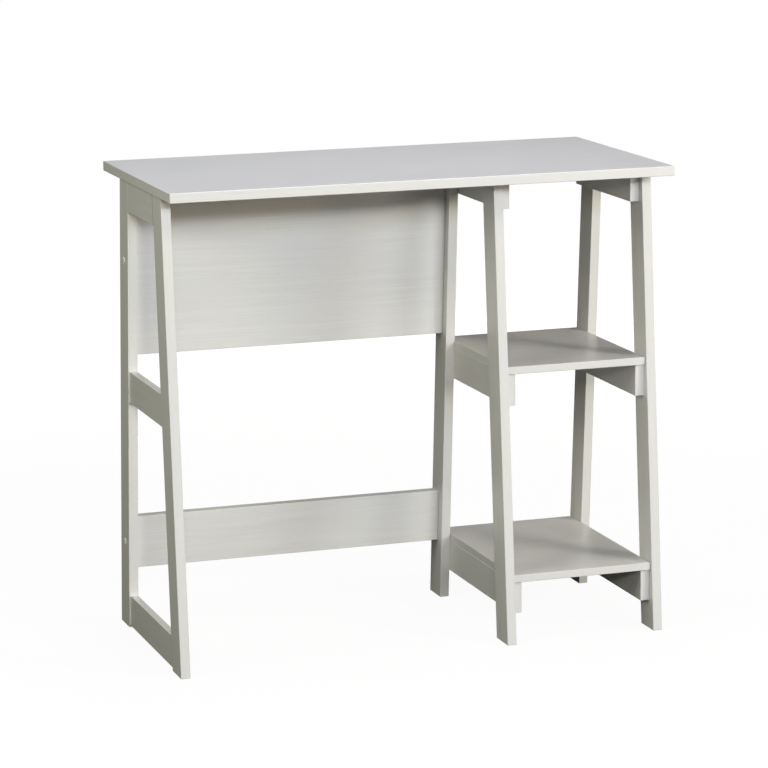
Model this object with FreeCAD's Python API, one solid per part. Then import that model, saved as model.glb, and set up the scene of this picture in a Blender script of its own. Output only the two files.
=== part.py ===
import FreeCAD, Part
import math
import os

# Desk with shelves: a top on three slanted frames, with a kneehole on the left and two open
# shelves on the right. Sizes are in millimetres. +X is to the user's right, -Y is the front and
# +Z is up. The origin is on the floor, under the middle of the top.

# Overall sizes
desk_width = 800.0
desk_depth = 400.0
desk_height = 740.0
end_overhang = 6.5  # top past the outer face of each end frame
bay_width = 231.0  # clear width between the legs beside the shelves

# Top, legs and rails
top_thickness = 15.0
leg_thickness = 15.0
leg_width = 48.5  # square to the leg's slanted edges
foot_inset = 20.0  # leg's outer edge behind the top's edge, at the floor
head_inset = 78.5  # leg's outer edge behind the top's edge, under the top
rail_height = 50.0
butt_rail_thickness = 12.0  # left frame's middle and bottom rails
butt_rail_recess = 2.0  # their outer faces behind the legs' outer faces
butt_rail_floor_gap = 3.0  # floor to the bottom rail
lap_rail_thickness = 15.0
lap_rail_inset = 11.5  # rail's end behind the leg's outer edge, at half the rail's height

# Shelves, modesty panel and back stretcher
shelf_thickness = 12.0
shelf_inset = 4.0  # shelf's front and rear edges behind the legs' outer edges
shelf_end_gap = 0.6  # between a shelf's end and the legs
upper_shelf_level = 433.0  # floor to the shelf's upper face
lower_shelf_level = 108.0
panel_thickness = 15.0
panel_height = 280.0
panel_screw_drop = 130.0  # underside of the top to the panel's screws
stretcher_thickness = 15.0
stretcher_height = 85.0
stretcher_level = 138.0  # floor to the stretcher's middle

# Dowels
butt_dowel_diameter = 6.0
butt_dowel_depth = 15.0  # hole on each side of the joint
lap_dowel_diameter = 8.0
panel_dowel_diameter = 8.0
panel_dowel_depth = 20.0  # hole in the end of the panel or stretcher
rail_dowel_pitch = 24.0
panel_dowel_pitch = 160.0
stretcher_dowel_pitch = 50.0
dowel_clearance = 0.1  # all round a dowel in its hole
end_clearance = 0.8  # past the end of a dowel or screw in its hole
blind_wall = 5.0  # board left under a hole in its face

# Connector screws and their caps
screw_length = 50.0
screw_diameter = 7.0
screw_head_diameter = 10.0
screw_head_height = 3.0
screw_tip_diameter = 4.0
screw_tip_length = 5.0
screw_clearance = 0.1
socket_width = 4.0  # across the flats of the six-sided socket
socket_depth = 4.5
cap_diameter = 12.0
cap_thickness = 1.5
cap_bevel = 0.6
cap_stem_diameter = 3.6
cap_stem_length = 3.5

# Screws up through the rails
rail_screw_length = 40.0  # under the head
rail_screw_diameter = 4.0
rail_screw_tip_length = 4.0
rail_screw_head_diameter = 8.0
rail_screw_head_height = 2.5
rail_screw_head_clearance = 0.3  # round the head in its counterbore
rail_screw_inset = 30.0  # leg's inner edge to the screw
cross_length = 5.0  # cross-shaped recess in the head
cross_width = 1.2
cross_depth = 1.2

# Lean of the legs
under_top = desk_height - top_thickness
lean_rate = (head_inset - foot_inset) / under_top
lean = math.atan(lean_rate)
leg_run = leg_width / math.cos(lean)

# Places of the frames across the desk
left_outer = -desk_width / 2 + end_overhang
left_inner = left_outer + leg_thickness
right_inner = desk_width / 2 - end_overhang - leg_thickness
middle_inner = right_inner - bay_width
middle_outer = middle_inner - leg_thickness

# Levels of the rails' upper edges
upper_rail_level = upper_shelf_level - shelf_thickness
lower_rail_level = lower_shelf_level - shelf_thickness
bottom_rail_level = butt_rail_floor_gap + rail_height

ends = {"front": -1, "rear": 1}
across = FreeCAD.Vector(1, 0, 0)
depthwise = FreeCAD.Vector(0, 1, 0)
up = FreeCAD.Vector(0, 0, 1)

boards = {}
bores = {}
hardware = {
    "butt_dowels": [],
    "lap_dowels": [],
    "panel_dowels": [],
    "connector_screws": [],
    "screw_caps": [],
    "rail_screws": [],
}


def outer_edge(z):
    """Distance of a leg's outer edge from the frame's middle, at a height."""
    return desk_depth / 2 - foot_inset - lean_rate * z


def inner_edge(z):
    """Distance of a leg's inner edge from the frame's middle, at a height."""
    return outer_edge(z) - leg_run


def leg_middle(z):
    """Distance of a leg's middle line from the frame's middle, at a height."""
    return outer_edge(z) - leg_run / 2


def add_board(name, shape):
    """Keep a board, with no holes in it yet."""
    boards[name] = shape
    bores[name] = []


def block(x0, x1, y0, y1, z0, z1):
    """Square-cut board between two opposite corners."""
    return Part.makeBox(x1 - x0, y1 - y0, z1 - z0, FreeCAD.Vector(x0, y0, z0))


def outlined(outline, x0, x1):
    """Board with an outline of (y, z) corners, from x0 to x1 across the desk."""
    corners = [FreeCAD.Vector(x0, y, z) for y, z in outline]
    face = Part.Face(Part.makePolygon(corners + corners[:1]))
    return face.extrude(across * (x1 - x0))


def rod(start, axis, diameter, length):
    """Round bar or hole from a start point along an axis."""
    return Part.makeCylinder(diameter / 2, length, start, axis)


def turned(profile, start, axis):
    """Round piece turned about its axis from (radius, place along the axis) corners."""
    corners = [FreeCAD.Vector(radius, 0, place) for radius, place in profile]
    face = Part.Face(Part.makePolygon(corners + corners[:1]))
    solid = face.revolve(FreeCAD.Vector(), up, 360)
    solid.Placement = FreeCAD.Placement(start, FreeCAD.Rotation(up, axis))
    return solid


def bore(names, hole):
    """Cut a hole in each of the named boards."""
    for name in names:
        bores[name].append(hole)


def add_dowel(group, names, joint, axis, diameter, depth_before, depth_after):
    """Dowel across a joint, in a hole of the given depth on each side of it."""
    hole_start = joint - axis * depth_before
    hole_length = depth_before + depth_after
    bore(names, rod(hole_start, axis, diameter + 2 * dowel_clearance, hole_length))
    dowel_start = hole_start + axis * end_clearance
    dowel_length = hole_length - 2 * end_clearance
    hardware[group].append(rod(dowel_start, axis, diameter, dowel_length))


def screw_profile(clearance, extra_length):
    """Outline of a connector screw, or of its hole with some clearance."""
    head = screw_head_diameter / 2 + clearance
    shank = screw_diameter / 2 + clearance
    tip = screw_tip_diameter / 2 + clearance
    neck_place = screw_head_height + head - shank
    length = screw_length + extra_length
    return [
        (0, 0),
        (head, 0),
        (head, screw_head_height),
        (shank, neck_place),
        (shank, length - screw_tip_length),
        (tip, length),
        (0, length),
    ]


def add_screw(names, face_point, axis):
    """Connector screw driven in from a leg's face, with a cap over its head."""
    bore(names, turned(screw_profile(screw_clearance, end_clearance), face_point, axis))
    corner_radius = socket_width / 2 / math.cos(math.radians(30))
    turns = [math.radians(60 * corner) for corner in range(6)]
    hexagon = [FreeCAD.Vector(corner_radius * math.cos(a), corner_radius * math.sin(a), 0) for a in turns]
    socket = Part.Face(Part.makePolygon(hexagon + hexagon[:1])).extrude(up * socket_depth)
    socket.Placement = FreeCAD.Placement(face_point, FreeCAD.Rotation(up, axis))
    hardware["connector_screws"].append(turned(screw_profile(0, 0), face_point, axis).cut(socket))
    rim = cap_diameter / 2
    stem = cap_stem_diameter / 2
    cap_profile = [
        (0, -cap_thickness),
        (rim - cap_bevel, -cap_thickness),
        (rim, cap_bevel - cap_thickness),
        (rim, 0),
        (stem, 0),
        (stem, cap_stem_length),
        (0, cap_stem_length),
    ]
    hardware["screw_caps"].append(turned(cap_profile, face_point, axis))


def add_rail_screw(rail, carried, carried_thickness, x, y, level):
    """Screw up through a rail into the board that lies on it, with its head sunk in the rail."""
    hole_end = level + carried_thickness - blind_wall
    seat = FreeCAD.Vector(x, y, hole_end - end_clearance - rail_screw_length)
    bore([rail, carried], rod(seat, up, rail_screw_diameter + 2 * screw_clearance, hole_end - seat.z))
    rail_foot = FreeCAD.Vector(x, y, level - rail_height)
    counterbore_diameter = rail_screw_head_diameter + 2 * rail_screw_head_clearance
    bore([rail], rod(rail_foot, up, counterbore_diameter, seat.z - rail_foot.z))
    head = rail_screw_head_diameter / 2
    shank = rail_screw_diameter / 2
    profile = [
        (0, -rail_screw_head_height),
        (head, -rail_screw_head_height),
        (head, 0),
        (shank, 0),
        (shank, rail_screw_length - rail_screw_tip_length),
        (0, rail_screw_length),
    ]
    head_face = seat.z - rail_screw_head_height
    cross_halves = (cross_length / 2, cross_width / 2)
    cross = [
        block(x - half_x, x + half_x, y - half_y, y + half_y, head_face, head_face + cross_depth)
        for half_x, half_y in (cross_halves, cross_halves[::-1])
    ]
    hardware["rail_screws"].append(turned(profile, seat, up).cut(cross))


# Top
half_width = desk_width / 2
half_depth = desk_depth / 2
add_board("desk_top", block(-half_width, half_width, -half_depth, half_depth, under_top, desk_height))

# Legs, cut level at the floor and under the top
for frame, leg_x in {"left": left_outer, "middle": middle_outer, "right": right_inner}.items():
    for end, side in ends.items():
        leg_outline = [
            (side * outer_edge(0), 0),
            (side * inner_edge(0), 0),
            (side * inner_edge(under_top), under_top),
            (side * outer_edge(under_top), under_top),
        ]
        add_board(f"{frame}_{end}_leg", outlined(leg_outline, leg_x, leg_x + leg_thickness))

# Left frame's rails, butted between its legs and dowelled to them. The top rail is flush with the
# legs and the others are set back.
recessed_face = left_outer + butt_rail_recess
butt_rails = {
    "left_top_rail": (under_top, left_outer, leg_thickness),
    "left_middle_rail": (upper_rail_level, recessed_face, butt_rail_thickness),
    "left_bottom_rail": (bottom_rail_level, recessed_face, butt_rail_thickness),
}
for rail, (level, rail_face, rail_thickness) in butt_rails.items():
    foot = level - rail_height
    rail_outline = [
        (-inner_edge(foot), foot),
        (inner_edge(foot), foot),
        (inner_edge(level), level),
        (-inner_edge(level), level),
    ]
    add_board(rail, outlined(rail_outline, rail_face, rail_face + rail_thickness))
    for end, side in ends.items():
        for step in (-0.5, 0.5):
            z = level - rail_height / 2 + step * rail_dowel_pitch
            joint = FreeCAD.Vector(rail_face + rail_thickness / 2, side * inner_edge(z), z)
            joined = [rail, f"left_{end}_leg"]
            add_dowel(
                "butt_dowels", joined, joint, depthwise * side,
                butt_dowel_diameter, butt_dowel_depth, butt_dowel_depth,
            )

# Middle and right frames' rails, lapped on the shelf side of their legs and dowelled to them
lap_rails = {
    "top_rail": under_top,
    "upper_shelf_rail": upper_rail_level,
    "lower_shelf_rail": lower_rail_level,
}
lap_faces = {"middle": (middle_inner, 1), "right": (right_inner, -1)}
for frame, (lap_x, facing) in lap_faces.items():
    for kind, level in lap_rails.items():
        rail = f"{frame}_{kind}"
        rail_middle = level - rail_height / 2
        rail_end = outer_edge(rail_middle) - lap_rail_inset
        rail_x = sorted([lap_x, lap_x + facing * lap_rail_thickness])
        add_board(rail, block(*rail_x, -rail_end, rail_end, level - rail_height, level))
        for end, side in ends.items():
            for step in (-0.5, 0.5):
                z = rail_middle + step * rail_dowel_pitch
                y = side * (rail_end + inner_edge(z)) / 2
                joined = [rail, f"{frame}_{end}_leg"]
                add_dowel(
                    "lap_dowels", joined, FreeCAD.Vector(lap_x, y, z), across * facing,
                    lap_dowel_diameter, leg_thickness - blind_wall, lap_rail_thickness - blind_wall,
                )

# Shelves, lying on the rails between the legs
for shelf, level in {"upper_shelf": upper_shelf_level, "lower_shelf": lower_shelf_level}.items():
    shelf_half = outer_edge(level) - shelf_inset
    shelf_x = (middle_inner + shelf_end_gap, right_inner - shelf_end_gap)
    add_board(shelf, block(*shelf_x, -shelf_half, shelf_half, level - shelf_thickness, level))

# Modesty panel, in line with the rear legs, with its upper edge cut level under the top
panel_foot = under_top - panel_height
panel_step_y = panel_thickness / 2 * math.cos(lean)
panel_step_z = panel_thickness / 2 * math.sin(lean)
panel_half_run = panel_thickness / 2 / math.cos(lean)
panel_outline = [
    (leg_middle(panel_foot) - panel_step_y, panel_foot - panel_step_z),
    (leg_middle(panel_foot) + panel_step_y, panel_foot + panel_step_z),
    (leg_middle(under_top) + panel_half_run, under_top),
    (leg_middle(under_top) - panel_half_run, under_top),
]
add_board("modesty_panel", outlined(panel_outline, left_inner, middle_outer))

# Back stretcher, square-cut and in line with the rear legs
stretcher_step_y = stretcher_thickness / 2 * math.cos(lean)
stretcher_step_z = stretcher_thickness / 2 * math.sin(lean)
stretcher_half = stretcher_height / 2 * math.cos(lean)
stretcher_foot = stretcher_level - stretcher_half
stretcher_head = stretcher_level + stretcher_half
stretcher_outline = [
    (leg_middle(stretcher_foot) - stretcher_step_y, stretcher_foot - stretcher_step_z),
    (leg_middle(stretcher_foot) + stretcher_step_y, stretcher_foot + stretcher_step_z),
    (leg_middle(stretcher_head) + stretcher_step_y, stretcher_head + stretcher_step_z),
    (leg_middle(stretcher_head) - stretcher_step_y, stretcher_head - stretcher_step_z),
]
add_board("back_stretcher", outlined(stretcher_outline, left_inner, middle_outer))

# Screws and dowels through the rear legs into the ends of the panel and the stretcher
back_boards = {
    "modesty_panel": (under_top - panel_screw_drop, panel_foot + panel_height / 2, panel_dowel_pitch),
    "back_stretcher": (stretcher_level, stretcher_level, stretcher_dowel_pitch),
}
leg_faces = {"left": (left_outer, 1), "middle": (middle_inner, -1)}
for board, (screw_z, dowel_level, dowel_pitch) in back_boards.items():
    for frame, (face_x, inward) in leg_faces.items():
        joined = [board, f"{frame}_rear_leg"]
        add_screw(joined, FreeCAD.Vector(face_x, leg_middle(screw_z), screw_z), across * inward)
        for step in (-0.5, 0.5):
            z = dowel_level + step * dowel_pitch
            joint = FreeCAD.Vector(face_x + inward * leg_thickness, leg_middle(z), z)
            add_dowel(
                "panel_dowels", joined, joint, across * inward,
                panel_dowel_diameter, leg_thickness - blind_wall, panel_dowel_depth,
            )

# Screws up through the rails that hold the top and the shelves down
rail_middles = {
    "left": left_outer + leg_thickness / 2,
    "middle": middle_inner + lap_rail_thickness / 2,
    "right": right_inner - lap_rail_thickness / 2,
}
carried_boards = [
    ("desk_top", top_thickness, "top_rail", under_top, ("left", "middle", "right")),
    ("upper_shelf", shelf_thickness, "upper_shelf_rail", upper_rail_level, ("middle", "right")),
    ("lower_shelf", shelf_thickness, "lower_shelf_rail", lower_rail_level, ("middle", "right")),
]
for carried, carried_thickness, kind, level, frames in carried_boards:
    screw_y = inner_edge(level - rail_height / 2) - rail_screw_inset
    for frame in frames:
        for side in ends.values():
            add_rail_screw(
                f"{frame}_{kind}", carried, carried_thickness,
                rail_middles[frame], side * screw_y, level,
            )

# One file for each board and each group of fittings
os.makedirs("parts", exist_ok=True)
for name, shape in boards.items():
    drilled = shape.cut(bores[name]) if bores[name] else shape
    Part.makeCompound(drilled.Solids).exportStep(f"parts/{name}.step")
for name, solids in hardware.items():
    separate = [solid for shape in solids for solid in shape.Solids]
    Part.makeCompound(separate).exportStep(f"parts/{name}.step")
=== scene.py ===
"""A white wood-grain desk with slanted plank legs, an open kneehole and two shelves, in a studio."""

import logging
import math
from dataclasses import dataclass, field
from enum import Enum

import bmesh
import bpy
from mathutils import Euler, Matrix, Vector


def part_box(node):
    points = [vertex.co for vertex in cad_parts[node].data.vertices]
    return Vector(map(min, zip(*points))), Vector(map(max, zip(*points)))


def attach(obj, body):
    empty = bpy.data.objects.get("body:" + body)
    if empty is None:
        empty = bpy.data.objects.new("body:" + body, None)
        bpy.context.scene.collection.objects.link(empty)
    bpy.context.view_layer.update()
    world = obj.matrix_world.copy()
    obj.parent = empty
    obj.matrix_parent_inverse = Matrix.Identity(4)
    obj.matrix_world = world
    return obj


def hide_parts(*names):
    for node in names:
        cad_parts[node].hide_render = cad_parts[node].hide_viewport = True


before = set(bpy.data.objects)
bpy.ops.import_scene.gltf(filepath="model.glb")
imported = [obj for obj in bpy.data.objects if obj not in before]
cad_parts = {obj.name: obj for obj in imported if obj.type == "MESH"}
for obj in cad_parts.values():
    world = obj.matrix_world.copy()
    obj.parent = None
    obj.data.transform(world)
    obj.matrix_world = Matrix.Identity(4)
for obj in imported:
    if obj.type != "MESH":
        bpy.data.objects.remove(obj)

log = logging.getLogger("desk")

Socket = bpy.types.NodeSocket
Asked = bpy.types.NodeOutputs
Tree = bpy.types.NodeTree
Material = bpy.types.Material
Piece = bpy.types.Object
Feed = Socket | Material | float | bool | str | tuple
Corners = tuple[Vector, Vector]
Colour = tuple[float, float, float, float]

MM = 0.001
BODY = "root"
GRAIN_MAP = "grain"
BAND = "band"
CUT = "cut"
TURN = "turn"

ACROSS = Vector((1, 0, 0))
DEEP = Vector((0, 1, 0))
UP = Vector((0, 0, 1))


class Slot(Enum):
    """The material slots."""

    WOODGRAIN = "white_woodgrain"
    BEECH = "beech_dowel"
    STEEL = "zinc_steel"
    CAP = "white_cap"


class GrainRun(Enum):
    """Which way the foil's grain runs on a board."""

    ALONG_WIDTH = "x"
    ALONG_DEPTH = "y"
    ALONG_LEG = "leg"


class Drive(Enum):
    """The recess that turns a screw."""

    CROSS = "cross"
    HEXAGON = "hexagon"


# Node wiring

class Wiring:
    """Places nodes in one tree and joins them."""

    def __init__(self, tree: Tree) -> None:
        """Start wiring in a tree."""
        self.tree = tree

    def feed(self, socket: Socket, value: Feed) -> None:
        """Give a socket a link or a constant.

        Args:
            socket: The input to feed.
            value: Another node's output, or a plain value.
        """
        if isinstance(value, Socket):
            self.tree.links.new(value, socket)
        else:
            socket.default_value = value

    def add(self, kind: str, feeds: dict[str | int, Feed] | None = None, **settings: Feed) -> bpy.types.Node:
        """Place a node.

        Args:
            kind: The node's type name.
            feeds: What its inputs get, by name or number.
            **settings: Its own properties.

        Returns:
            The new node.
        """
        node = self.tree.nodes.new(kind)
        for name, value in settings.items():
            setattr(node, name, value)
        for key, value in (feeds or {}).items():
            self.feed(node.inputs[key], value)
        return node

    def math(self, operation: str, *values: Feed, clamp: bool = False) -> Socket:
        """Place a Math node.

        Args:
            operation: Its operation.
            *values: Its inputs, in order.
            clamp: Whether the result is kept between 0 and 1.

        Returns:
            Its result.
        """
        node = self.add("ShaderNodeMath", dict(enumerate(values)), operation=operation, use_clamp=clamp)
        return node.outputs[0]

    def vector(self, operation: str, *values: Feed) -> Socket:
        """Place a Vector Math node.

        Args:
            operation: Its operation.
            *values: Its inputs, in order.

        Returns:
            Its vector result.
        """
        return self.add("ShaderNodeVectorMath", dict(enumerate(values)), operation=operation).outputs[0]

    def ramp(self, value: Feed, low: float, high: float) -> Socket:
        """Place a smooth step from 0 at low to 1 at high.

        Args:
            value: What is stepped.
            low: Where the step starts.
            high: Where the step ends.

        Returns:
            The stepped value.
        """
        feeds = {"Value": value, "From Min": low, "From Max": high}
        return self.add("ShaderNodeMapRange", feeds, interpolation_type="SMOOTHSTEP").outputs["Result"]

    def blend(self, kind: str, share: Feed, first: Feed, second: Feed) -> Socket:
        """Place a colour mix.

        Args:
            kind: The blend type.
            share: How much of the second colour comes in.
            first: The colour underneath.
            second: The colour on top.

        Returns:
            The mixed colour.
        """
        node = self.add("ShaderNodeMix", data_type="RGBA", blend_type=kind)
        for socket, value in zip((node.inputs[0], node.inputs[6], node.inputs[7]), (share, first, second)):
            self.feed(socket, value)
        return node.outputs[2]


def new_group(name: str, inputs: dict[str, tuple[str, Feed]], outputs: dict[str, str]) -> Tree:
    """Make an empty shader node group with named sockets.

    Args:
        name: The group's name.
        inputs: Socket type and default value of each input.
        outputs: Socket type of each output.

    Returns:
        The group.
    """
    tree = bpy.data.node_groups.new(name, "ShaderNodeTree")
    for label, (kind, value) in inputs.items():
        tree.interface.new_socket(label, in_out="INPUT", socket_type=kind).default_value = value
    for label, kind in outputs.items():
        tree.interface.new_socket(label, in_out="OUTPUT", socket_type=kind)
    return tree


FLOAT = "NodeSocketFloat"
VECTOR = "NodeSocketVector"


def wood_grain_group() -> Tree:
    """Build the grain of a printed wood foil: lines, bands and pores, stronger in patches.

    Returns:
        A group whose Foil input holds metres along and across the grain.
    """
    tree = new_group(
        "wood_grain",
        {
            "Foil": (VECTOR, (0, 0, 0)),
            "Line Length": (FLOAT, 120 * MM),
            "Line Width": (FLOAT, 1.9 * MM),
            "Band Length": (FLOAT, 360 * MM),
            "Band Width": (FLOAT, 10 * MM),
            "Pore Length": (FLOAT, 14.4 * MM),
            "Pore Width": (FLOAT, 0.57 * MM),
            "Patch Length": (FLOAT, 180 * MM),
            "Patch Width": (FLOAT, 28 * MM),
            "Sway Length": (FLOAT, 260 * MM),
            "Sway Width": (FLOAT, 70 * MM),
            "Waver": (FLOAT, 3 * MM),
        },
        {"Tone": FLOAT, "Pores": FLOAT, "Height": FLOAT},
    )
    w = Wiring(tree)
    ask = w.add("NodeGroupInput").outputs
    place = w.add("ShaderNodeSeparateXYZ", {0: ask["Foil"]}).outputs
    along, across = place["X"], place["Y"]

    def noise(length: Feed, width: Feed, offset: Feed, detail: float) -> Socket:
        """Noise drawn out along the grain.

        Args:
            length: Its scale along the grain.
            width: Its scale across the grain.
            offset: The place across the grain.
            detail: How many finer layers it has.

        Returns:
            The noise, about 0.5 on average.
        """
        cell = {"X": w.math("DIVIDE", along, length), "Y": w.math("DIVIDE", offset, width)}
        at = w.add("ShaderNodeCombineXYZ", cell).outputs[0]
        feeds = {"Vector": at, "Scale": 1.0, "Detail": detail, "Roughness": 0.55}
        return w.add("ShaderNodeTexNoise", feeds, noise_dimensions="2D").outputs[0]

    sway = w.math("SUBTRACT", noise(ask["Sway Length"], ask["Sway Width"], across, 1), 0.5)
    bent = w.math("MULTIPLY_ADD", sway, ask["Waver"], across)
    lines = noise(ask["Line Length"], ask["Line Width"], bent, 2)
    bands = noise(ask["Band Length"], ask["Band Width"], bent, 2)
    patches = w.ramp(noise(ask["Patch Length"], ask["Patch Width"], across, 1), 0.35, 0.65)
    pores = w.ramp(noise(ask["Pore Length"], ask["Pore Width"], bent, 1), 0.62, 0.74)
    streaks = w.math("MULTIPLY_ADD", bands, 0.4, w.math("MULTIPLY", lines, 0.6))
    strength = w.math("MULTIPLY_ADD", patches, 1.1, 0.45)
    tone = w.math("MULTIPLY_ADD", w.math("SUBTRACT", streaks, 0.5), strength, 0.5)
    height = w.math("MULTIPLY_ADD", pores, -0.5, lines)
    w.add("NodeGroupOutput", {"Tone": tone, "Pores": pores, "Height": height})
    return tree


def edge_wear_group() -> Tree:
    """Build a mask of a board's edges, broken up as handling breaks it, and the thin seam of its edge band.

    Returns:
        A group whose Place input is measured from the board's middle along its own sides.
    """
    tree = new_group(
        "edge_wear",
        {
            "Place": (VECTOR, (0, 0, 0)),
            "Half Size": (VECTOR, (1, 1, 1)),
            "Width": (FLOAT, 1.6 * MM),
            "Band": (FLOAT, 0.5 * MM),
            "Seam Width": (FLOAT, 0.15 * MM),
            "Break Scale": (FLOAT, 28.0),
        },
        {"Worn": FLOAT, "Seam": FLOAT},
    )
    w = Wiring(tree)
    ask = w.add("NodeGroupInput").outputs
    inside = w.vector("SUBTRACT", ask["Half Size"], w.vector("ABSOLUTE", ask["Place"]))
    x, y, z = w.add("ShaderNodeSeparateXYZ", {0: inside}).outputs
    lesser, greater = w.math("MINIMUM", x, y), w.math("MAXIMUM", x, y)
    from_edge = w.math("MAXIMUM", lesser, w.math("MINIMUM", greater, z))
    nearness = w.math("SUBTRACT", 1.0, w.math("DIVIDE", from_edge, ask["Width"]), clamp=True)
    feeds = {"Vector": ask["Place"], "Scale": ask["Break Scale"], "Detail": 3.0}
    broken = w.ramp(w.add("ShaderNodeTexNoise", feeds).outputs[0], 0.40, 0.66)
    worn = w.math("MULTIPLY", w.math("MULTIPLY", nearness, nearness), broken)
    off_seam = w.math("ABSOLUTE", w.math("SUBTRACT", from_edge, ask["Band"]))
    seam = w.math("SUBTRACT", 1.0, w.math("DIVIDE", off_seam, ask["Seam Width"]), clamp=True)
    w.add("NodeGroupOutput", {"Worn": worn, "Seam": seam})
    return tree


def handling_group() -> Tree:
    """Build the faint smudges and dust that change a surface's sheen.

    Returns:
        A group that puts out a mask of smudges.
    """
    tree = new_group("handling", {"Place": (VECTOR, (0, 0, 0)), "Spread": (FLOAT, 9.0)}, {"Smudge": FLOAT})
    w = Wiring(tree)
    ask = w.add("NodeGroupInput").outputs
    feeds = {"Vector": ask["Place"], "Scale": ask["Spread"], "Detail": 5.0, "Roughness": 0.6}
    smudge = w.ramp(w.add("ShaderNodeTexNoise", feeds).outputs[0], 0.4, 0.7)
    w.add("NodeGroupOutput", {"Smudge": smudge})
    return tree


GRAIN = wood_grain_group()
WEAR = edge_wear_group()
HANDLING = handling_group()


# Finishes

@dataclass(frozen=True)
class Laid:
    """How a board lies: its middle, its half sizes and its lean."""

    middle: Vector
    half: Vector
    lean: float


def new_material(name: str) -> tuple[Material, Wiring, bpy.types.Node]:
    """Make a material with nodes.

    Args:
        name: The material's name.

    Returns:
        The material, its wiring and its shader.
    """
    material = bpy.data.materials.new(name)
    material.use_nodes = True
    return material, Wiring(material.node_tree), material.node_tree.nodes["Principled BSDF"]


@dataclass(frozen=True)
class Finish:
    """Two tones of a surface, its roughness and its fine relief."""

    light: Colour
    dark: Colour
    roughness: float
    roughness_spread: float
    relief: float
    relief_depth: float

    def roughen(self, w: Wiring, shader: bpy.types.Node, mask: Socket) -> None:
        """Let a mask spread the roughness."""
        matt = w.math("MULTIPLY_ADD", mask, self.roughness_spread, self.roughness)
        w.feed(shader.inputs["Roughness"], matt)

    def emboss(self, w: Wiring, shader: bpy.types.Node, height: Socket) -> None:
        """Let a height raise the relief."""
        feeds = {"Strength": self.relief, "Distance": self.relief_depth, "Height": height}
        w.feed(shader.inputs["Normal"], w.add("ShaderNodeBump", feeds).outputs[0])


@dataclass(frozen=True)
class LaminateFinish(Finish):
    """White wood-grain foil on board, satin."""

    light: Colour = (0.815, 0.812, 0.797, 1)
    dark: Colour = (0.765, 0.761, 0.744, 1)
    pore: Colour = (0.70, 0.695, 0.67, 1)
    worn: Colour = (0.86, 0.855, 0.84, 1)
    seam: Colour = (0.62, 0.61, 0.58, 1)
    raw: Colour = (0.27, 0.22, 0.15, 1)
    roughness: float = 0.31
    roughness_spread: float = 0.03
    relief: float = 0.10
    relief_depth: float = 0.12 * MM
    contrast: float = 1.0
    tone_reach: float = 0.2
    band_calm: float = 0.6
    pore_share: float = 0.35
    worn_share: float = 0.2
    seam_share: float = 0.2
    pore_matt: float = 0.08

    def material(self, name: str, laid: Laid) -> Material:
        """Make the finish of one board.

        Args:
            name: The board's name.
            laid: How the board lies.

        Returns:
            The material.
        """
        material, w, shader = new_material(f"{name}_foil")
        foil = w.add("ShaderNodeUVMap", uv_map=GRAIN_MAP).outputs[0]
        grain = w.add("ShaderNodeGroup", {"Foil": foil}, node_tree=GRAIN)
        pores = grain.outputs["Pores"]
        turn = Euler((laid.lean, 0, 0))
        shift = -(turn.to_matrix() @ laid.middle)
        where = w.add("ShaderNodeTexCoord").outputs["Object"]
        lying = {"Vector": where, "Location": tuple(shift), "Rotation": tuple(turn)}
        place = w.add("ShaderNodeMapping", lying).outputs[0]
        wear = w.add("ShaderNodeGroup", {"Place": place, "Half Size": tuple(laid.half)}, node_tree=WEAR)
        handling = w.add("ShaderNodeGroup", {"Place": place}, node_tree=HANDLING)

        reach = self.tone_reach / self.contrast
        tone = w.ramp(grain.outputs["Tone"], 0.5 - reach, 0.5 + reach)
        band = w.add("ShaderNodeAttribute", attribute_name=BAND).outputs["Fac"]
        calm = w.math("MULTIPLY", band, self.band_calm)
        tone = w.math("MULTIPLY_ADD", w.math("SUBTRACT", 0.5, tone), calm, tone)
        colour = w.blend("MIX", tone, self.dark, self.light)
        for mask, share, over in (
            (pores, self.pore_share, self.pore),
            (wear.outputs["Worn"], self.worn_share, self.worn),
            (wear.outputs["Seam"], self.seam_share, self.seam),
        ):
            colour = w.blend("MIX", w.math("MULTIPLY", mask, share), colour, over)
        cut = w.add("ShaderNodeAttribute", attribute_name=CUT).outputs["Fac"]
        w.feed(shader.inputs["Base Color"], w.blend("MIX", cut, colour, self.raw))

        matt = w.math("MULTIPLY_ADD", handling.outputs["Smudge"], self.roughness_spread, self.roughness)
        w.feed(shader.inputs["Roughness"], w.math("MULTIPLY_ADD", pores, self.pore_matt, matt))
        self.emboss(w, shader, grain.outputs["Height"])
        return material


@dataclass(frozen=True)
class BeechFinish(Finish):
    """Bare fluted beech."""

    light: Colour = (0.72, 0.54, 0.36, 1)
    dark: Colour = (0.58, 0.40, 0.25, 1)
    roughness: float = 0.62
    roughness_spread: float = 0.12
    relief: float = 0.25
    relief_depth: float = 0.08 * MM
    scale_along: float = 60.0
    scale_across: float = 900.0

    def material(self, name: str, run: Vector) -> Material:
        """Make the finish of dowels that all lie one way.

        Args:
            name: The material's name.
            run: The direction of their grain.

        Returns:
            The material.
        """
        material, w, shader = new_material(name)
        where = w.add("ShaderNodeTexCoord").outputs["Object"]
        stretch = tuple(self.scale_along if component else self.scale_across for component in run)
        fibres = w.add("ShaderNodeMapping", {"Vector": where, "Scale": stretch}).outputs[0]
        streak = w.add("ShaderNodeTexNoise", {"Vector": fibres, "Scale": 1.0, "Detail": 3.0}).outputs[0]
        tone = w.ramp(streak, 0.35, 0.68)
        w.feed(shader.inputs["Base Color"], w.blend("MIX", tone, self.dark, self.light))
        self.roughen(w, shader, streak)
        self.emboss(w, shader, streak)
        return material


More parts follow.
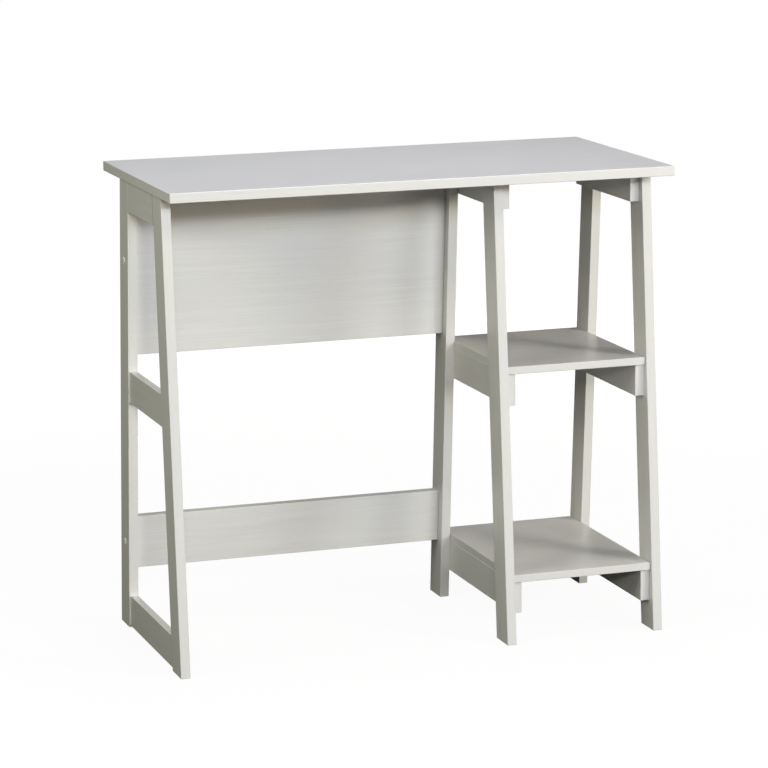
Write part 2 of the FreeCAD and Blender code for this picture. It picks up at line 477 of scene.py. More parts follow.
@dataclass(frozen=True)
class ZincFinish(Finish):
    """Zinc-plated steel, slightly mottled."""

    light: Colour = (0.66, 0.67, 0.69, 1)
    dark: Colour = (0.54, 0.55, 0.58, 1)
    roughness: float = 0.30
    roughness_spread: float = 0.2
    relief: float = 0.15
    relief_depth: float = 0.05 * MM
    mottle_scale: float = 700.0
    smudge_scale: float = 160.0

    def material(self, name: str) -> Material:
        """Make the plated finish.

        Args:
            name: The material's name.

        Returns:
            The material.
        """
        material, w, shader = new_material(name)
        where = w.add("ShaderNodeTexCoord").outputs["Object"]
        feeds = {"Vector": where, "Scale": self.mottle_scale, "Detail": 4.0}
        mottle = w.add("ShaderNodeTexNoise", feeds).outputs[0]
        marks = {"Place": where, "Spread": self.smudge_scale}
        smudge = w.add("ShaderNodeGroup", marks, node_tree=HANDLING).outputs["Smudge"]
        tone = w.ramp(mottle, 0.35, 0.65)
        w.feed(shader.inputs["Base Color"], w.blend("MIX", tone, self.dark, self.light))
        w.feed(shader.inputs["Metallic"], 1.0)
        self.roughen(w, shader, smudge)
        self.emboss(w, shader, mottle)
        return material


@dataclass(frozen=True)
class CapFinish(Finish):
    """White moulded plastic with a fine spark-eroded texture."""

    light: Colour = (0.88, 0.88, 0.87, 1)
    dark: Colour = (0.81, 0.81, 0.795, 1)
    roughness: float = 0.48
    roughness_spread: float = 0.1
    relief: float = 0.3
    relief_depth: float = 0.04 * MM
    grit_scale: float = 2600.0
    smudge_scale: float = 240.0

    def material(self, name: str) -> Material:
        """Make the moulded finish.

        Args:
            name: The material's name.

        Returns:
            The material.
        """
        material, w, shader = new_material(name)
        where = w.add("ShaderNodeTexCoord").outputs["Object"]
        feeds = {"Vector": where, "Scale": self.grit_scale, "Detail": 2.0}
        grit = w.add("ShaderNodeTexNoise", feeds).outputs[0]
        marks = {"Place": where, "Spread": self.smudge_scale}
        smudge = w.add("ShaderNodeGroup", marks, node_tree=HANDLING).outputs["Smudge"]
        w.feed(shader.inputs["Base Color"], w.blend("MIX", smudge, self.light, self.dark))
        self.roughen(w, shader, grit)
        self.emboss(w, shader, grit)
        return material


# Meshes

MERGE_GAP = 0.01 * MM
FLAT_ANGLE = math.radians(0.5)
SHARP_ANGLE = math.radians(30)
SAME_WAY = math.cos(math.radians(1))
SMALLEST_FLAT = 100 * MM * MM
LENGTHWISE = 0.9
BOARD_SHIFT = Vector((0.61, 0.43))
SIDE_SHIFT = Vector((1.37, 0.71))


def merged(node: str) -> bmesh.types.BMesh:
    """Copy a solid's mesh with its triangles joined up.

    Args:
        node: The solid's name.

    Returns:
        The joined mesh, which the caller frees.
    """
    work = bmesh.new()
    work.from_mesh(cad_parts[node].data)
    bmesh.ops.remove_doubles(work, verts=work.verts, dist=MERGE_GAP)
    return work


def islands(node: str) -> list[Corners]:
    """Find the separate solids of a node.

    Args:
        node: The node's name.

    Returns:
        Each solid's lowest and highest corner.
    """
    work = merged(node)
    left = set(work.verts)
    found = []
    while left:
        reach = [left.pop()]
        places = []
        while reach:
            vertex = reach.pop()
            places.append(vertex.co.copy())
            near = {edge.other_vert(vertex) for edge in vertex.link_edges} & left
            left -= near
            reach.extend(near)
        low = Vector(min(place[axis] for place in places) for axis in range(3))
        high = Vector(max(place[axis] for place in places) for axis in range(3))
        found.append((low, high))
    work.free()
    return sorted(found, key=lambda corners: tuple(corners[0]))


def made_plain(piece: Piece) -> None:
    """Turn a piece's modifiers into a plain mesh.

    Args:
        piece: The piece, which keeps its name.
    """
    bpy.context.view_layer.update()
    graph = bpy.context.evaluated_depsgraph_get()
    mesh = bpy.data.meshes.new_from_object(piece.evaluated_get(graph), depsgraph=graph)
    mesh.name = piece.name
    piece.modifiers.clear()
    piece.data = mesh


def new_piece(name: str, mesh: bpy.types.Mesh) -> Piece:
    """Put a mesh in the scene.

    Args:
        name: The piece's name.
        mesh: Its mesh, in the desk's frame.

    Returns:
        The new object.
    """
    piece = bpy.data.objects.new(name, mesh)
    bpy.context.scene.collection.objects.link(piece)
    return piece


def placed(piece: Piece, node: str) -> None:
    """Let a finished piece stand for its node.

    Args:
        piece: The finished piece.
        node: The node that it stands for.
    """
    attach(piece, BODY)
    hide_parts(node)
    log.info("%s: %d faces", piece.name, len(piece.data.polygons))


# Boards

@dataclass
class Board:
    """One foil-wrapped board with softly rounded edges."""

    node: str
    grain: GrainRun
    lean: float = 0.0
    edge_radius: float = 0.8 * MM
    rounds: int = 3
    shortest_edge: float = 5 * MM
    end_gap: float = 0.0
    raw_ends: bool = False
    piece: Piece | None = None

    def axes(self) -> tuple[Vector, Vector, Vector]:
        """Find the board's own directions.

        Returns:
            Unit vectors along the grain, across it, and through the board.
        """
        turn = Matrix.Rotation(-self.lean, 3, "X")
        rise, back = turn @ UP, turn @ DEEP
        runs = {
            GrainRun.ALONG_LEG: (rise, back, ACROSS),
            GrainRun.ALONG_DEPTH: (DEEP, UP, ACROSS),
            GrainRun.ALONG_WIDTH: (ACROSS, rise, back) if self.upright() else (ACROSS, DEEP, UP),
        }
        return runs[self.grain]

    def upright(self) -> bool:
        """Tell whether the board stands on its edge."""
        low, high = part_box(self.node)
        return high.z - low.z > high.y - low.y

    def build(self) -> None:
        """Copy the solid, draw in its ends by the joint's gap, and round its edges, but not at raw ends."""
        work = merged(self.node)
        middle = sum(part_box(self.node), Vector()) / 2
        run = self.axes()[0]
        for vertex in work.verts:
            vertex.co -= run * math.copysign(self.end_gap, (vertex.co - middle).dot(run))
        bmesh.ops.dissolve_limit(work, angle_limit=FLAT_ANGLE, verts=work.verts, edges=work.edges)
        weight = work.edges.layers.float.new("bevel_weight_edge")
        for edge in work.edges:
            first, last = (vertex.co for vertex in edge.verts)
            length = edge.calc_length()
            rounded = not self.raw_ends or abs((last - first).dot(run)) > LENGTHWISE * length
            if edge.is_manifold and length > self.shortest_edge and rounded:
                edge[weight] = float(edge.calc_face_angle() > SHARP_ANGLE)
        work.normal_update()
        flats = [face.normal.copy() for face in work.faces if face.calc_area() > SMALLEST_FLAT]
        mesh = bpy.data.meshes.new(f"{self.node}_board")
        work.to_mesh(mesh)
        work.free()
        self.piece = new_piece(f"{self.node}_board", mesh)
        rounding = self.piece.modifiers.new("rounding", "BEVEL")
        rounding.limit_method = "WEIGHT"
        rounding.width = self.edge_radius
        rounding.segments = self.rounds
        rounding.use_clamp_overlap = False
        made_plain(self.piece)
        for face in self.piece.data.polygons:
            face.use_smooth = max(face.normal.dot(flat) for flat in flats) < SAME_WAY

    def lay_grain(self, number: int) -> None:
        """Lay the foil on each face, along the grain or an edge, and mark the edge bands and raw ends.

        Args:
            number: The board's number, which shifts its foil so that no two boards match.
        """
        mesh = self.piece.data
        axes = self.axes()
        layer = mesh.uv_layers.new(name=GRAIN_MAP)
        for mark in (BAND, CUT):
            mesh.attributes.new(mark, "FLOAT", "FACE")
        band, cut = (mesh.attributes[mark].data for mark in (BAND, CUT))
        for face in mesh.polygons:
            facing = max(range(3), key=lambda axis: abs(face.normal.dot(axes[axis])))
            band[face.index].value = float(facing != 2)
            cut[face.index].value = float(self.raw_ends and facing == 0)
            along, across = (axes[axis] for axis in range(3) if axis != facing)
            side = 2 * facing + (face.normal.dot(axes[facing]) > 0)
            shift = BOARD_SHIFT * number + SIDE_SHIFT * side
            for corner in face.loop_indices:
                place = mesh.vertices[mesh.loops[corner].vertex_index].co
                layer.uv[corner].vector = Vector((place.dot(along), place.dot(across))) + shift

    def dress(self, finish: LaminateFinish, number: int) -> None:
        """Lay the foil and let the board stand for its solid.

        Args:
            finish: The foil's finish.
            number: The board's number.
        """
        self.lay_grain(number)
        low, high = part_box(self.node)
        middle = (low + high) / 2
        turn = Matrix.Rotation(self.lean, 3, "X")
        places = [turn @ (vertex.co - middle) for vertex in self.piece.data.vertices]
        half = Vector(max(abs(place[axis]) for place in places) for axis in range(3))
        self.piece.data.materials.clear()
        self.piece.data.materials.append(finish.material(self.node, Laid(middle, half, self.lean)))
        placed(self.piece, self.node)


def leg_lean(node: str) -> float:
    """Measure how far a leg leans.

    Args:
        node: The leg's name.

    Returns:
        The turn about the width that sets it upright, in radians.
    """
    places = [vertex.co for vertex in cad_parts[node].data.vertices]
    low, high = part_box(node)
    foot = max(place.y for place in places if place.z < low.z + MM)
    head = max(place.y for place in places if place.z > high.z - MM)
    return math.atan2(head - foot, high.z - low.z)


@dataclass
class BoardGroup:
    """A sub-assembly of boards that share one finish."""

    finish: LaminateFinish
    first_number: int
    boards: list[Board] = field(init=False, default_factory=list)

    def build(self) -> None:
        """Make the meshes of all boards."""
        for board in self.boards:
            board.build()

    def dress(self) -> None:
        """Lay the foil on all boards."""
        for number, board in enumerate(self.boards, self.first_number):
            board.dress(self.finish, number)


@dataclass
class WorkTop(BoardGroup):
    """The plain rectangular top."""

    edge_radius: float = 1.0 * MM

    def __post_init__(self) -> None:
        """List the top's board."""
        self.boards = [Board("desk_top", GrainRun.ALONG_WIDTH, edge_radius=self.edge_radius)]


@dataclass
class TrestleFrame(BoardGroup):
    """A pair of slanted legs with the rails between or beside them."""

    side: str = "left"
    rails: tuple[str, ...] = ()
    butted: bool = False
    flush_rail: str = ""
    flush_gap: float = 0.8 * MM

    def __post_init__(self) -> None:
        """List the frame's legs and rails."""
        for leg in (f"{self.side}_{end}_leg" for end in ("front", "rear")):
            self.boards.append(Board(leg, GrainRun.ALONG_LEG, leg_lean(leg)))
        for name in self.rails:
            gap = self.flush_gap if name == self.flush_rail else 0.0
            rail = f"{self.side}_{name}_rail"
            self.boards.append(Board(rail, GrainRun.ALONG_DEPTH, end_gap=gap, raw_ends=self.butted))


@dataclass
class BackBoards(BoardGroup):
    """The modesty panel and the back stretcher, slanted in line with the rear legs."""

    end_gap: float = 0.4 * MM

    def __post_init__(self) -> None:
        """List the two boards."""
        lean = leg_lean("left_rear_leg")
        for node in ("modesty_panel", "back_stretcher"):
            self.boards.append(Board(node, GrainRun.ALONG_WIDTH, lean, end_gap=self.end_gap))


@dataclass
class ShelfPair(BoardGroup):
    """The two shelves between the middle and right frames."""

    def __post_init__(self) -> None:
        """List the shelves."""
        self.boards = [Board(node, GrainRun.ALONG_WIDTH) for node in ("upper_shelf", "lower_shelf")]


# Fittings

@dataclass
class Fitting:
    """Equal turned fittings, instanced at the places of their solids."""

    node: str
    slot: Slot
    material: Material
    rings: int = 24
    sides: int = 32
    sizes: dict[str, float] = field(default_factory=dict)

    def inward(self, low: Vector, high: Vector) -> Vector:
        """Return the direction from a fitting's outer end to its inner end, here its longest side.

        Args:
            low: The fitting's lowest corner.
            high: Its highest corner.

        Returns:
            A unit vector.
        """
        size = high - low
        return (ACROSS, DEEP, UP)[max(range(3), key=lambda axis: size[axis])]

    def radius(self, w: Wiring, ask: Asked, depth: Socket) -> Socket:
        """Return the turned radius at a depth below the outer end.

        Args:
            w: The tree's wiring.
            ask: The tree's inputs.
            depth: The depth below the outer end.

        Returns:
            The radius.
        """
        raise NotImplementedError

    def relief(self, w: Wiring, ask: Asked, depth: Socket, angle: Socket) -> Feed:
        """Return how far the surface stands off the turned radius.

        Args:
            w: The tree's wiring.
            ask: The tree's inputs.
            depth: The depth below the outer end.
            angle: The angle round the axis.

        Returns:
            The distance, here none.
        """
        return 0.0

    def cut(self, w: Wiring, ask: Asked, solid: Socket) -> Socket:
        """Return the fitting with its recess cut, here none.

        Args:
            w: The tree's wiring.
            ask: The tree's inputs.
            solid: The turned solid.

        Returns:
            The cut solid.
        """
        return solid

    def tree(self) -> Tree:
        """Build the tree that turns one fitting and sets it at every place.

        Returns:
            The geometry tree.
        """
        tree = bpy.data.node_groups.new(f"{self.node}_turning", "GeometryNodeTree")
        tree.interface.new_socket("Places", in_out="INPUT", socket_type="NodeSocketGeometry")
        for label in self.sizes:
            tree.interface.new_socket(label, in_out="INPUT", socket_type=FLOAT)
        for label in ("Rings", "Sides"):
            tree.interface.new_socket(label, in_out="INPUT", socket_type="NodeSocketInt")
        tree.interface.new_socket("Finish", in_out="INPUT", socket_type="NodeSocketMaterial")
        tree.interface.new_socket("Fittings", in_out="OUTPUT", socket_type="NodeSocketGeometry")
        w = Wiring(tree)
        ask = w.add("NodeGroupInput").outputs
        end = w.add("ShaderNodeCombineXYZ", {"Z": ask["Length"]}).outputs[0]
        axis = w.add("GeometryNodeCurvePrimitiveLine", {"Start": (0, 0, 0), "End": end}).outputs[0]
        path = w.add("GeometryNodeResampleCurve", {"Curve": axis, "Count": ask["Rings"]}).outputs[0]
        depth = w.add("GeometryNodeSplineParameter").outputs["Length"]
        round_feeds = {"Resolution": ask["Sides"], "Radius": 1.0}
        circle = w.add("GeometryNodeCurvePrimitiveCircle", round_feeds).outputs[0]
        radius = self.radius(w, ask, depth)
        sweep = {"Curve": path, "Profile Curve": circle, "Scale": radius, "Fill Caps": True}
        skin = w.add("GeometryNodeCurveToMesh", sweep).outputs[0]
        place = w.add("GeometryNodeInputPosition").outputs[0]
        x, y, z = w.add("ShaderNodeSeparateXYZ", {0: place}).outputs
        outward = w.vector("NORMALIZE", w.add("ShaderNodeCombineXYZ", {"X": x, "Y": y}).outputs[0])
        stand = self.relief(w, ask, z, w.math("ARCTAN2", y, x))
        offset = w.add("ShaderNodeVectorMath", {0: outward, "Scale": stand}, operation="SCALE").outputs[0]
        shaped = w.add("GeometryNodeSetPosition", {"Geometry": skin, "Offset": offset}).outputs[0]
        whole = self.cut(w, ask, shaped)
        turn = w.add("GeometryNodeInputNamedAttribute", {"Name": TURN}, data_type="FLOAT_VECTOR").outputs[0]
        turned = w.add("FunctionNodeEulerToRotation", {0: turn}).outputs[0]
        setting = {"Points": ask["Places"], "Instance": whole, "Rotation": turned}
        rows = w.add("GeometryNodeInstanceOnPoints", setting).outputs[0]
        real = w.add("GeometryNodeRealizeInstances", {0: rows}).outputs[0]
        dressed = w.add("GeometryNodeSetMaterial", {"Geometry": real, "Material": ask["Finish"]}).outputs[0]
        w.add("NodeGroupOutput", {0: dressed})
        return tree

    def build(self) -> Piece:
        """Set a fitting at each place and make the result a plain mesh.

        Returns:
            The piece.
        """
        boxes = islands(self.node)
        mesh = bpy.data.meshes.new(self.node)
        runs = [self.inward(low, high) for low, high in boxes]
        starts = []
        for (low, high), run in zip(boxes, runs):
            starts.append((low + high) / 2 - run * abs((high - low).dot(run)) / 2)
        mesh.from_pydata(starts, [], [])
        turns = mesh.attributes.new(TURN, "FLOAT_VECTOR", "POINT")
        for item, run in zip(turns.data, runs):
            item.vector = run.to_track_quat("Z", "Y").to_euler()
        piece = new_piece(f"{self.node}_set", mesh)
        maker = piece.modifiers.new("turning", "NODES")
        tree = self.tree()
        given = {**self.sizes, "Rings": self.rings, "Sides": self.sides, "Finish": self.material}
        for item in tree.interface.items_tree:
            if item.in_out == "INPUT" and item.name in given:
                given[item.identifier] = given.pop(item.name)
        maker.node_group = tree
        for identifier, value in given.items():
            maker[identifier] = value
        made_plain(piece)
        piece.data.shade_smooth()
        piece.data.set_sharp_from_angle(angle=SHARP_ANGLE)
        return piece

    def dress(self, piece: Piece) -> None:
        """Let the fittings stand for their solids."""
        placed(piece, self.node)


@dataclass
class Dowels(Fitting):
    """Fluted wooden dowels with chamfered ends."""

    flutes: int = 14

    def __post_init__(self) -> None:
        """Take the dowels' length and diameter from their solids."""
        low, high = islands(self.node)[0]
        sides = sorted(high - low)
        self.sizes = {
            "Length": sides[2], "Diameter": sides[0],
            "Chamfer": 0.9 * MM, "Flute Depth": 0.3 * MM,
        }

    def radius(self, w: Wiring, ask: Asked, depth: Socket) -> Socket:
        """Return the rod's radius, less the chamfer at its ends.

        Args:
            w: The tree's wiring.
            ask: The tree's inputs.
            depth: The depth below the outer end.

        Returns:
            The radius.
        """
        to_end = w.math("MINIMUM", depth, w.math("SUBTRACT", ask["Length"], depth))
        short = w.math("MAXIMUM", w.math("SUBTRACT", ask["Chamfer"], to_end), 0.0)
        return w.math("SUBTRACT", w.math("MULTIPLY", ask["Diameter"], 0.5), short)

    def relief(self, w: Wiring, ask: Asked, depth: Socket, angle: Socket) -> Feed:
        """Return the flutes, which run out at the chamfers.

        Args:
            w: The tree's wiring.
            ask: The tree's inputs.
            depth: The depth below the outer end.
            angle: The angle round the axis.

        Returns:
            The flutes' depth, as a distance off the turned radius.
        """
        wave = w.math("MAXIMUM", w.math("COSINE", w.math("MULTIPLY", angle, float(self.flutes))), 0.0)
        to_end = w.math("MINIMUM", depth, w.math("SUBTRACT", ask["Length"], depth))
        inside = w.math("SUBTRACT", w.math("DIVIDE", to_end, ask["Chamfer"]), 1.0, clamp=True)
        down = w.math("MULTIPLY", ask["Flute Depth"], -1.0)
        return w.math("MULTIPLY", w.math("MULTIPLY", wave, inside), down)


@dataclass
class Screws(Fitting):
    """Threaded screws with a recessed head."""

    drive: Drive = Drive.CROSS
    chamfer_share: float = 0.2
    tip_share: float = 0.15

    def radius(self, w: Wiring, ask: Asked, depth: Socket) -> Socket:
        """Return the head's radius, then the core's, then the tip's taper.

        Args:
            w: The tree's wiring.
            ask: The tree's inputs.
            depth: The depth below the outer end.

        Returns:
            The radius.
        """
        head = w.math("MULTIPLY", ask["Head Diameter"], 0.5)
        sloped = w.math("MULTIPLY", ask["Head Height"], self.chamfer_share)
        chamfer = w.math("MAXIMUM", w.math("SUBTRACT", sloped, depth), 0.0)
        core = w.math("SUBTRACT", w.math("MULTIPLY", ask["Diameter"], 0.5), ask["Thread Depth"])
        left = w.math("DIVIDE", w.math("SUBTRACT", ask["Length"], depth), ask["Tip"], clamp=True)
        shank = w.math("MULTIPLY", core, w.math("MULTIPLY_ADD", left, 1 - self.tip_share, self.tip_share))
        below = w.math("GREATER_THAN", depth, ask["Head Height"])
        rim = w.math("SUBTRACT", head, chamfer)
        return w.add("ShaderNodeMix", {0: below, 2: rim, 3: shank}, data_type="FLOAT").outputs[0]

    def relief(self, w: Wiring, ask: Asked, depth: Socket, angle: Socket) -> Feed:
        """Return the thread, a helix that starts below the plain neck and runs out at the tip.

        Args:
            w: The tree's wiring.
            ask: The tree's inputs.
            depth: The depth below the outer end.
            angle: The angle round the axis.

        Returns:
            The thread's height off the core.
        """
        turns = w.math("ADD", w.math("DIVIDE", depth, ask["Pitch"]), w.math("DIVIDE", angle, math.tau))
        crest = w.math("MULTIPLY", w.math("PINGPONG", turns, 0.5), 2.0)
        start = w.math("ADD", ask["Head Height"], ask["Neck"])
        rise = w.math("DIVIDE", w.math("SUBTRACT", depth, start), ask["Pitch"], clamp=True)
        fall = w.math("DIVIDE", w.math("SUBTRACT", ask["Length"], depth), ask["Tip"], clamp=True)
        height = w.math("MULTIPLY", crest, ask["Thread Depth"])
        return w.math("MULTIPLY", height, w.math("MULTIPLY", rise, fall))

    def cut(self, w: Wiring, ask: Asked, solid: Socket) -> Socket:
        """Return the screw with its recess cut into the head.

        Args:
            w: The tree's wiring.
            ask: The tree's inputs.
            solid: The turned screw.

        Returns:
            The cut screw.
        """
        deep = w.math("MULTIPLY", ask["Recess Depth"], 2.0)
        knife = w.add("GeometryNodeMeshBoolean", {"Mesh 1": solid}, operation="DIFFERENCE", solver="EXACT")
        if self.drive is Drive.HEXAGON:
            corner = w.math("DIVIDE", ask["Recess Width"], 2 * math.cos(math.radians(30)))
            feeds = {"Vertices": 6, "Radius": corner, "Depth": deep}
            w.feed(knife.inputs["Mesh 2"], w.add("GeometryNodeMeshCylinder", feeds).outputs["Mesh"])
        else:
            for first, second in (("X", "Y"), ("Y", "X")):
                feeds = {first: ask["Recess Width"], second: ask["Recess Slot"], "Z": deep}
                size = w.add("ShaderNodeCombineXYZ", feeds).outputs[0]
                bar = w.add("GeometryNodeMeshCube", {"Size": size}).outputs["Mesh"]
                w.feed(knife.inputs["Mesh 2"], bar)
        return knife.outputs["Mesh"]


@dataclass
class RailScrews(Screws):
    """Wood screws driven up through the rails into the boards above."""

    rings: int = 160
    sides: int = 20

    def __post_init__(self) -> None:
        """Set the wood screw's sizes."""
        low, high = islands(self.node)[0]
        self.sizes = {
            "Length": high.z - low.z, "Diameter": 4 * MM,
            "Head Diameter": high.x - low.x, "Head Height": 2.5 * MM,
            "Neck": 6 * MM, "Pitch": 1.8 * MM, "Thread Depth": 0.6 * MM, "Tip": 4 * MM,
            "Recess Width": 5 * MM, "Recess Slot": 1.2 * MM, "Recess Depth": 1.2 * MM,
        }

    def inward(self, low: Vector, high: Vector) -> Vector:
        """Return straight up, the way these screws are driven."""
        return UP


def towards_kneehole(low: Vector, high: Vector) -> Vector:
    """Return the direction from an end of the kneehole to its middle.

    Args:
        low: Lowest corner of what sits at the end.
        high: Its highest corner.

    Returns:
        A unit vector along the width.
    """
    first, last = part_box("modesty_panel")
    return ACROSS * math.copysign(1, first.x + last.x - low.x - high.x)


@dataclass
class ConnectorScrews(Screws):
    """Connector screws through the rear legs into the panel and the stretcher."""

    rings: int = 150
    sides: int = 24
    drive: Drive = Drive.HEXAGON

    def __post_init__(self) -> None:
        """Set the connector screw's sizes."""
        low, high = islands(self.node)[0]
        self.sizes = {
            "Length": high.x - low.x, "Diameter": 7 * MM,
            "Head Diameter": high.z - low.z, "Head Height": 3 * MM,
            "Neck": 9 * MM, "Pitch": 2.4 * MM, "Thread Depth": 0.8 * MM, "Tip": 3 * MM,
            "Recess Width": 4 * MM, "Recess Depth": 2 * MM,
        }

    def inward(self, low: Vector, high: Vector) -> Vector:
        """Return the way into the kneehole."""
        return towards_kneehole(low, high)


@dataclass
class ScrewCaps(Fitting):
    """Domed plastic caps over the connector screws, on a short stem."""

    rings: int = 90
    sides: int = 40
    fullness: float = 2.5

    def __post_init__(self) -> None:
        """Take the cap's reach from its solid."""
        low, high = islands(self.node)[0]
        self.sizes = {
            "Length": high.x - low.x, "Diameter": high.z - low.z,
            "Head Height": 1.5 * MM, "Dome": 0.7 * MM, "Stem Diameter": 3.6 * MM,
        }

    def inward(self, low: Vector, high: Vector) -> Vector:
        """Return the way into the kneehole."""
        return towards_kneehole(low, high)

    def radius(self, w: Wiring, ask: Asked, depth: Socket) -> Socket:
        """Return the dome's radius, then the stem's.

        Args:
            w: The tree's wiring.
            ask: The tree's inputs.
            depth: The depth below the outer end.

        Returns:
            The radius.
        """
        up = w.math("SUBTRACT", 1.0, w.math("DIVIDE", depth, ask["Dome"], clamp=True))
        left = w.math("SUBTRACT", 1.0, w.math("POWER", up, self.fullness))
        round_share = w.math("POWER", left, 1 / self.fullness)
        head = w.math("MULTIPLY", w.math("MULTIPLY", ask["Diameter"], 0.5), round_share)
        stem = w.math("MULTIPLY", ask["Stem Diameter"], 0.5)
        below = w.math("GREATER_THAN", depth, ask["Head Height"])
        return w.add("ShaderNodeMix", {0: below, 2: head, 3: stem}, data_type="FLOAT").outputs[0]


# Studio

LAMP_LEVEL = Vector((0, 0, 0.72))
LAMP_AIM = Vector((0, 0, 0.45))


@dataclass(frozen=True)
class Lamp:
    """A soft lamp, by its bearing from the front and its rise above the top's level, both in degrees.

    The boards' sheen shows it only if in_sheen is set.
    """

    name: str
    bearing: float
    rise: float
    distance: float
    size: tuple[float, float]
    colour: tuple[float, float, float]
    in_sheen: bool = False

    def stand(self) -> Vector:
        """Find the lamp's place.

        Returns:
            Where the lamp stands.
        """
        bearing, rise = math.radians(self.bearing), math.radians(self.rise)
        level = Vector((math.sin(bearing), -math.cos(bearing), 0)) * math.cos(rise)
        return LAMP_LEVEL + (level + UP * math.sin(rise)) * self.distance

    def light(self) -> None:
        """Set up the lamp, aimed at the middle of the desk."""
        strength = max(self.colour)
        data = bpy.data.lights.new(self.name, "AREA")
        data.shape = "RECTANGLE"
        data.size, data.size_y = self.size
        data.energy = (math.pi * self.distance) ** 2 * strength
        data.color = tuple(part / strength for part in self.colour)
        lamp = bpy.data.objects.new(self.name, data)
        lamp.location = self.stand()
        lamp.rotation_mode = "QUATERNION"
        lamp.rotation_quaternion = (self.stand() - LAMP_AIM).to_track_quat("Z", "Y")
        lamp.visible_camera = False
        lamp.visible_glossy = self.in_sheen
        bpy.context.scene.collection.objects.link(lamp)

    def on_floor(self) -> float:
        """Return how bright the lamp makes a white floor under the desk."""
        stand = self.stand()
        return sum(self.colour) / 3 * self.distance ** 2 * stand.z / stand.length ** 3


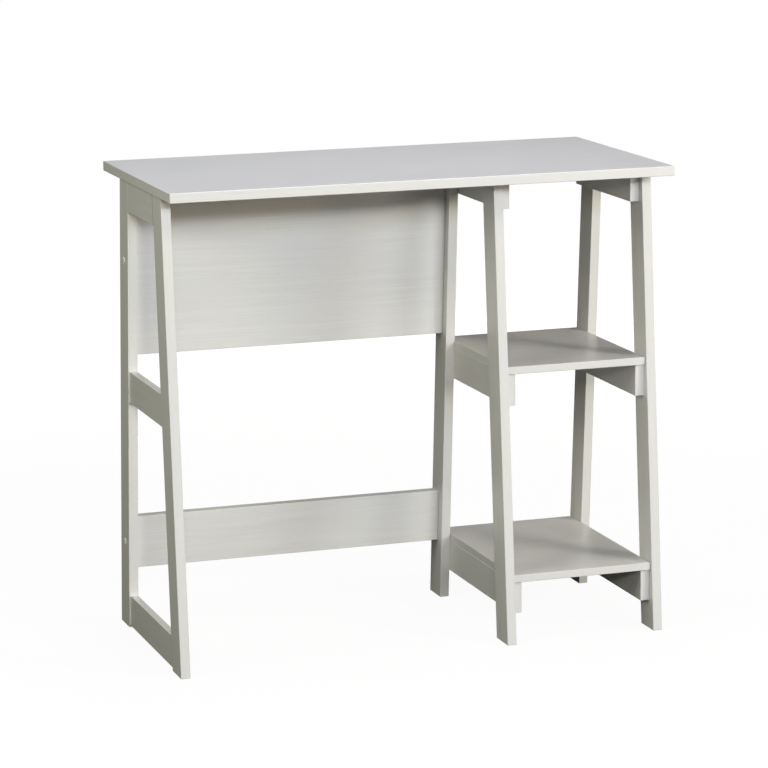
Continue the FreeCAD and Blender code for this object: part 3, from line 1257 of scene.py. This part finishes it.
@dataclass
class Studio:
    """Camera, lamps, floor and white surroundings, with the camera's turns in degrees."""

    eye: Vector = Vector((-1.6219, -4.7785, 1.4015))
    yaw: float = -18.685
    pitch: float = -11.319
    roll: float = -0.527
    lens: float = 153.6
    sensor: float = 36.0
    floor_radius: float = 30.0
    floor_paint: float = 0.06
    shadow_near: float = 0.8
    shadow_far: float = 3.0
    fill: float = 0.006
    reflected: float = 0.025
    lamps: tuple[Lamp, ...] = (
        Lamp("overhead", 0, 89, 1.6, (1.0, 1.0), (0.70, 0.713, 0.796), in_sheen=True),
        Lamp("front_left", -15, 13, 4.8, (1.0, 0.28), (0.19, 0.178, 0.115)),
        Lamp("front_left_high", -15, 17, 4.8, (1.0, 0.28), (0.105, 0.107, 0.137)),
        Lamp("front", 2, 13, 4.8, (0.8, 0.28), (0.09, 0.106, 0.155)),
        Lamp("front_right", 42, 12, 4.8, (2.1, 0.3), (0.135, 0.147, 0.148)),
        Lamp("low_middle", 20, 7, 4.8, (1.5, 0.25), (0.09, 0.065, 0.046)),
        Lamp("low_right", 48, 6, 3.4, (1.0, 0.25), (0.148, 0.119, 0.068)),
        Lamp("floor_middle", 19, 2, 4.8, (0.8, 0.3), (0.018, 0.03, 0.03)),
        Lamp("narrow_middle", 19, 13, 4.8, (0.8, 0.3), (0.1, 0.104, 0.112)),
        Lamp("narrow_right", 43, 10, 4.8, (0.8, 0.4), (0.012, 0.032, 0.068)),
        Lamp("narrow_right_high", 43, 28, 2.8, (0.5, 0.4), (0.208, 0.19, 0.15)),
        Lamp("left_high", 290, 27, 2.4, (1.4, 0.4), (0.145, 0.15, 0.155)),
        Lamp("left_low", 290, 16, 2.4, (1.4, 0.4), (0.232, 0.226, 0.165)),
        Lamp("rear_right", 136, -2, 3.0, (1.2, 0.8), (0.06, 0.054, 0.042)),
        Lamp("rear", 159, -2, 3.0, (1.1, 0.8), (0.27, 0.257, 0.225)),
    )

    def aim_camera(self) -> None:
        """Stand the camera where the picture was taken."""
        data = bpy.data.cameras.new("camera")
        data.lens = self.lens
        data.sensor_width = self.sensor
        camera = bpy.data.objects.new("camera", data)
        bpy.context.scene.collection.objects.link(camera)
        turn = Matrix.Rotation(math.radians(self.yaw), 4, "Z")
        turn @= Matrix.Rotation(math.radians(90 + self.pitch), 4, "X")
        turn @= Matrix.Rotation(math.radians(self.roll), 4, "Z")
        camera.matrix_world = Matrix.Translation(self.eye) @ turn
        bpy.context.scene.camera = camera

    def seen(self, w: Wiring) -> Socket:
        """Return how white a ray sees the surroundings: fully to the eye, dimly in the foil's sheen.

        Args:
            w: The wiring of the surroundings' tree.

        Returns:
            The share of white, which is 0 for rays that light the desk.
        """
        path = w.add("ShaderNodeLightPath").outputs
        direct = w.math("MAXIMUM", path["Is Camera Ray"], path["Is Transmission Ray"])
        return w.math("MAXIMUM", direct, w.math("MULTIPLY", path["Is Glossy Ray"], self.reflected))

    def lay_floor(self) -> None:
        """Lay a white floor that keeps the desk's soft shadow."""
        work = bmesh.new()
        bmesh.ops.create_circle(work, cap_ends=True, segments=96, radius=self.floor_radius)
        mesh = bpy.data.meshes.new("floor")
        work.to_mesh(mesh)
        work.free()
        floor = new_piece("floor", mesh)
        material, w, shader = new_material("floor_paint")
        lit = self.floor_paint * (self.fill + sum(lamp.on_floor() for lamp in self.lamps))
        shader.inputs["Base Color"].default_value = (self.floor_paint,) * 3 + (1,)
        shader.inputs["Roughness"].default_value = 0.9
        shader.inputs["Specular IOR Level"].default_value = 0.0
        shader.inputs["Emission Color"].default_value = (1, 1, 1, 1)
        where = w.add("ShaderNodeTexCoord").outputs["Object"]
        away = w.add("ShaderNodeVectorMath", {0: where}, operation="LENGTH").outputs["Value"]
        glow = w.math("MULTIPLY_ADD", w.ramp(away, self.shadow_near, self.shadow_far), lit, 1 - lit)
        w.feed(shader.inputs["Emission Strength"], w.math("MULTIPLY", self.seen(w), glow))
        mesh.materials.append(material)

    def surround(self) -> None:
        """Make the surroundings white to the eye and dim to the desk."""
        world = bpy.data.worlds.new("surroundings")
        world.use_nodes = True
        w = Wiring(world.node_tree)
        glow = world.node_tree.nodes["Background"]
        glow.inputs["Color"].default_value = (1, 1, 1, 1)
        strength = w.add("ShaderNodeMix", {0: self.seen(w), 2: self.fill, 3: 1.0}, data_type="FLOAT")
        w.feed(glow.inputs["Strength"], strength.outputs[0])
        bpy.context.scene.world = world

    def build(self) -> None:
        """Set up the whole studio."""
        self.aim_camera()
        for lamp in self.lamps:
            lamp.light()
        self.lay_floor()
        self.surround()
        bpy.context.scene.view_settings.view_transform = "Standard"


def main() -> None:
    """Build the desk's boards, its fittings and the studio."""
    logging.basicConfig(level=logging.INFO, format="%(name)s: %(message)s")
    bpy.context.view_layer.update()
    foil = LaminateFinish()
    groups: list[BoardGroup] = [
        WorkTop(LaminateFinish(contrast=0.6), 1),
        TrestleFrame(foil, 2, "left", ("top", "middle", "bottom"), butted=True, flush_rail="top"),
        TrestleFrame(foil, 7, "middle", ("top", "upper_shelf", "lower_shelf")),
        TrestleFrame(foil, 12, "right", ("top", "upper_shelf", "lower_shelf")),
        BackBoards(foil, 17),
        ShelfPair(foil, 19),
    ]
    for group in groups:
        group.build()
        group.dress()
    beech = BeechFinish()
    zinc = ZincFinish().material("zinc_plate")
    fittings: list[Fitting] = [
        Dowels("butt_dowels", Slot.BEECH, beech.material("beech_deep", DEEP)),
        Dowels("lap_dowels", Slot.BEECH, beech.material("beech_across", ACROSS)),
        Dowels("panel_dowels", Slot.BEECH, beech.material("beech_panel", ACROSS)),
        RailScrews("rail_screws", Slot.STEEL, zinc),
        ConnectorScrews("connector_screws", Slot.STEEL, zinc),
        ScrewCaps("screw_caps", Slot.CAP, CapFinish().material("moulded_cap")),
    ]
    for fitting in fittings:
        fitting.dress(fitting.build())
    Studio().build()


if __name__ == "__main__":
    main()
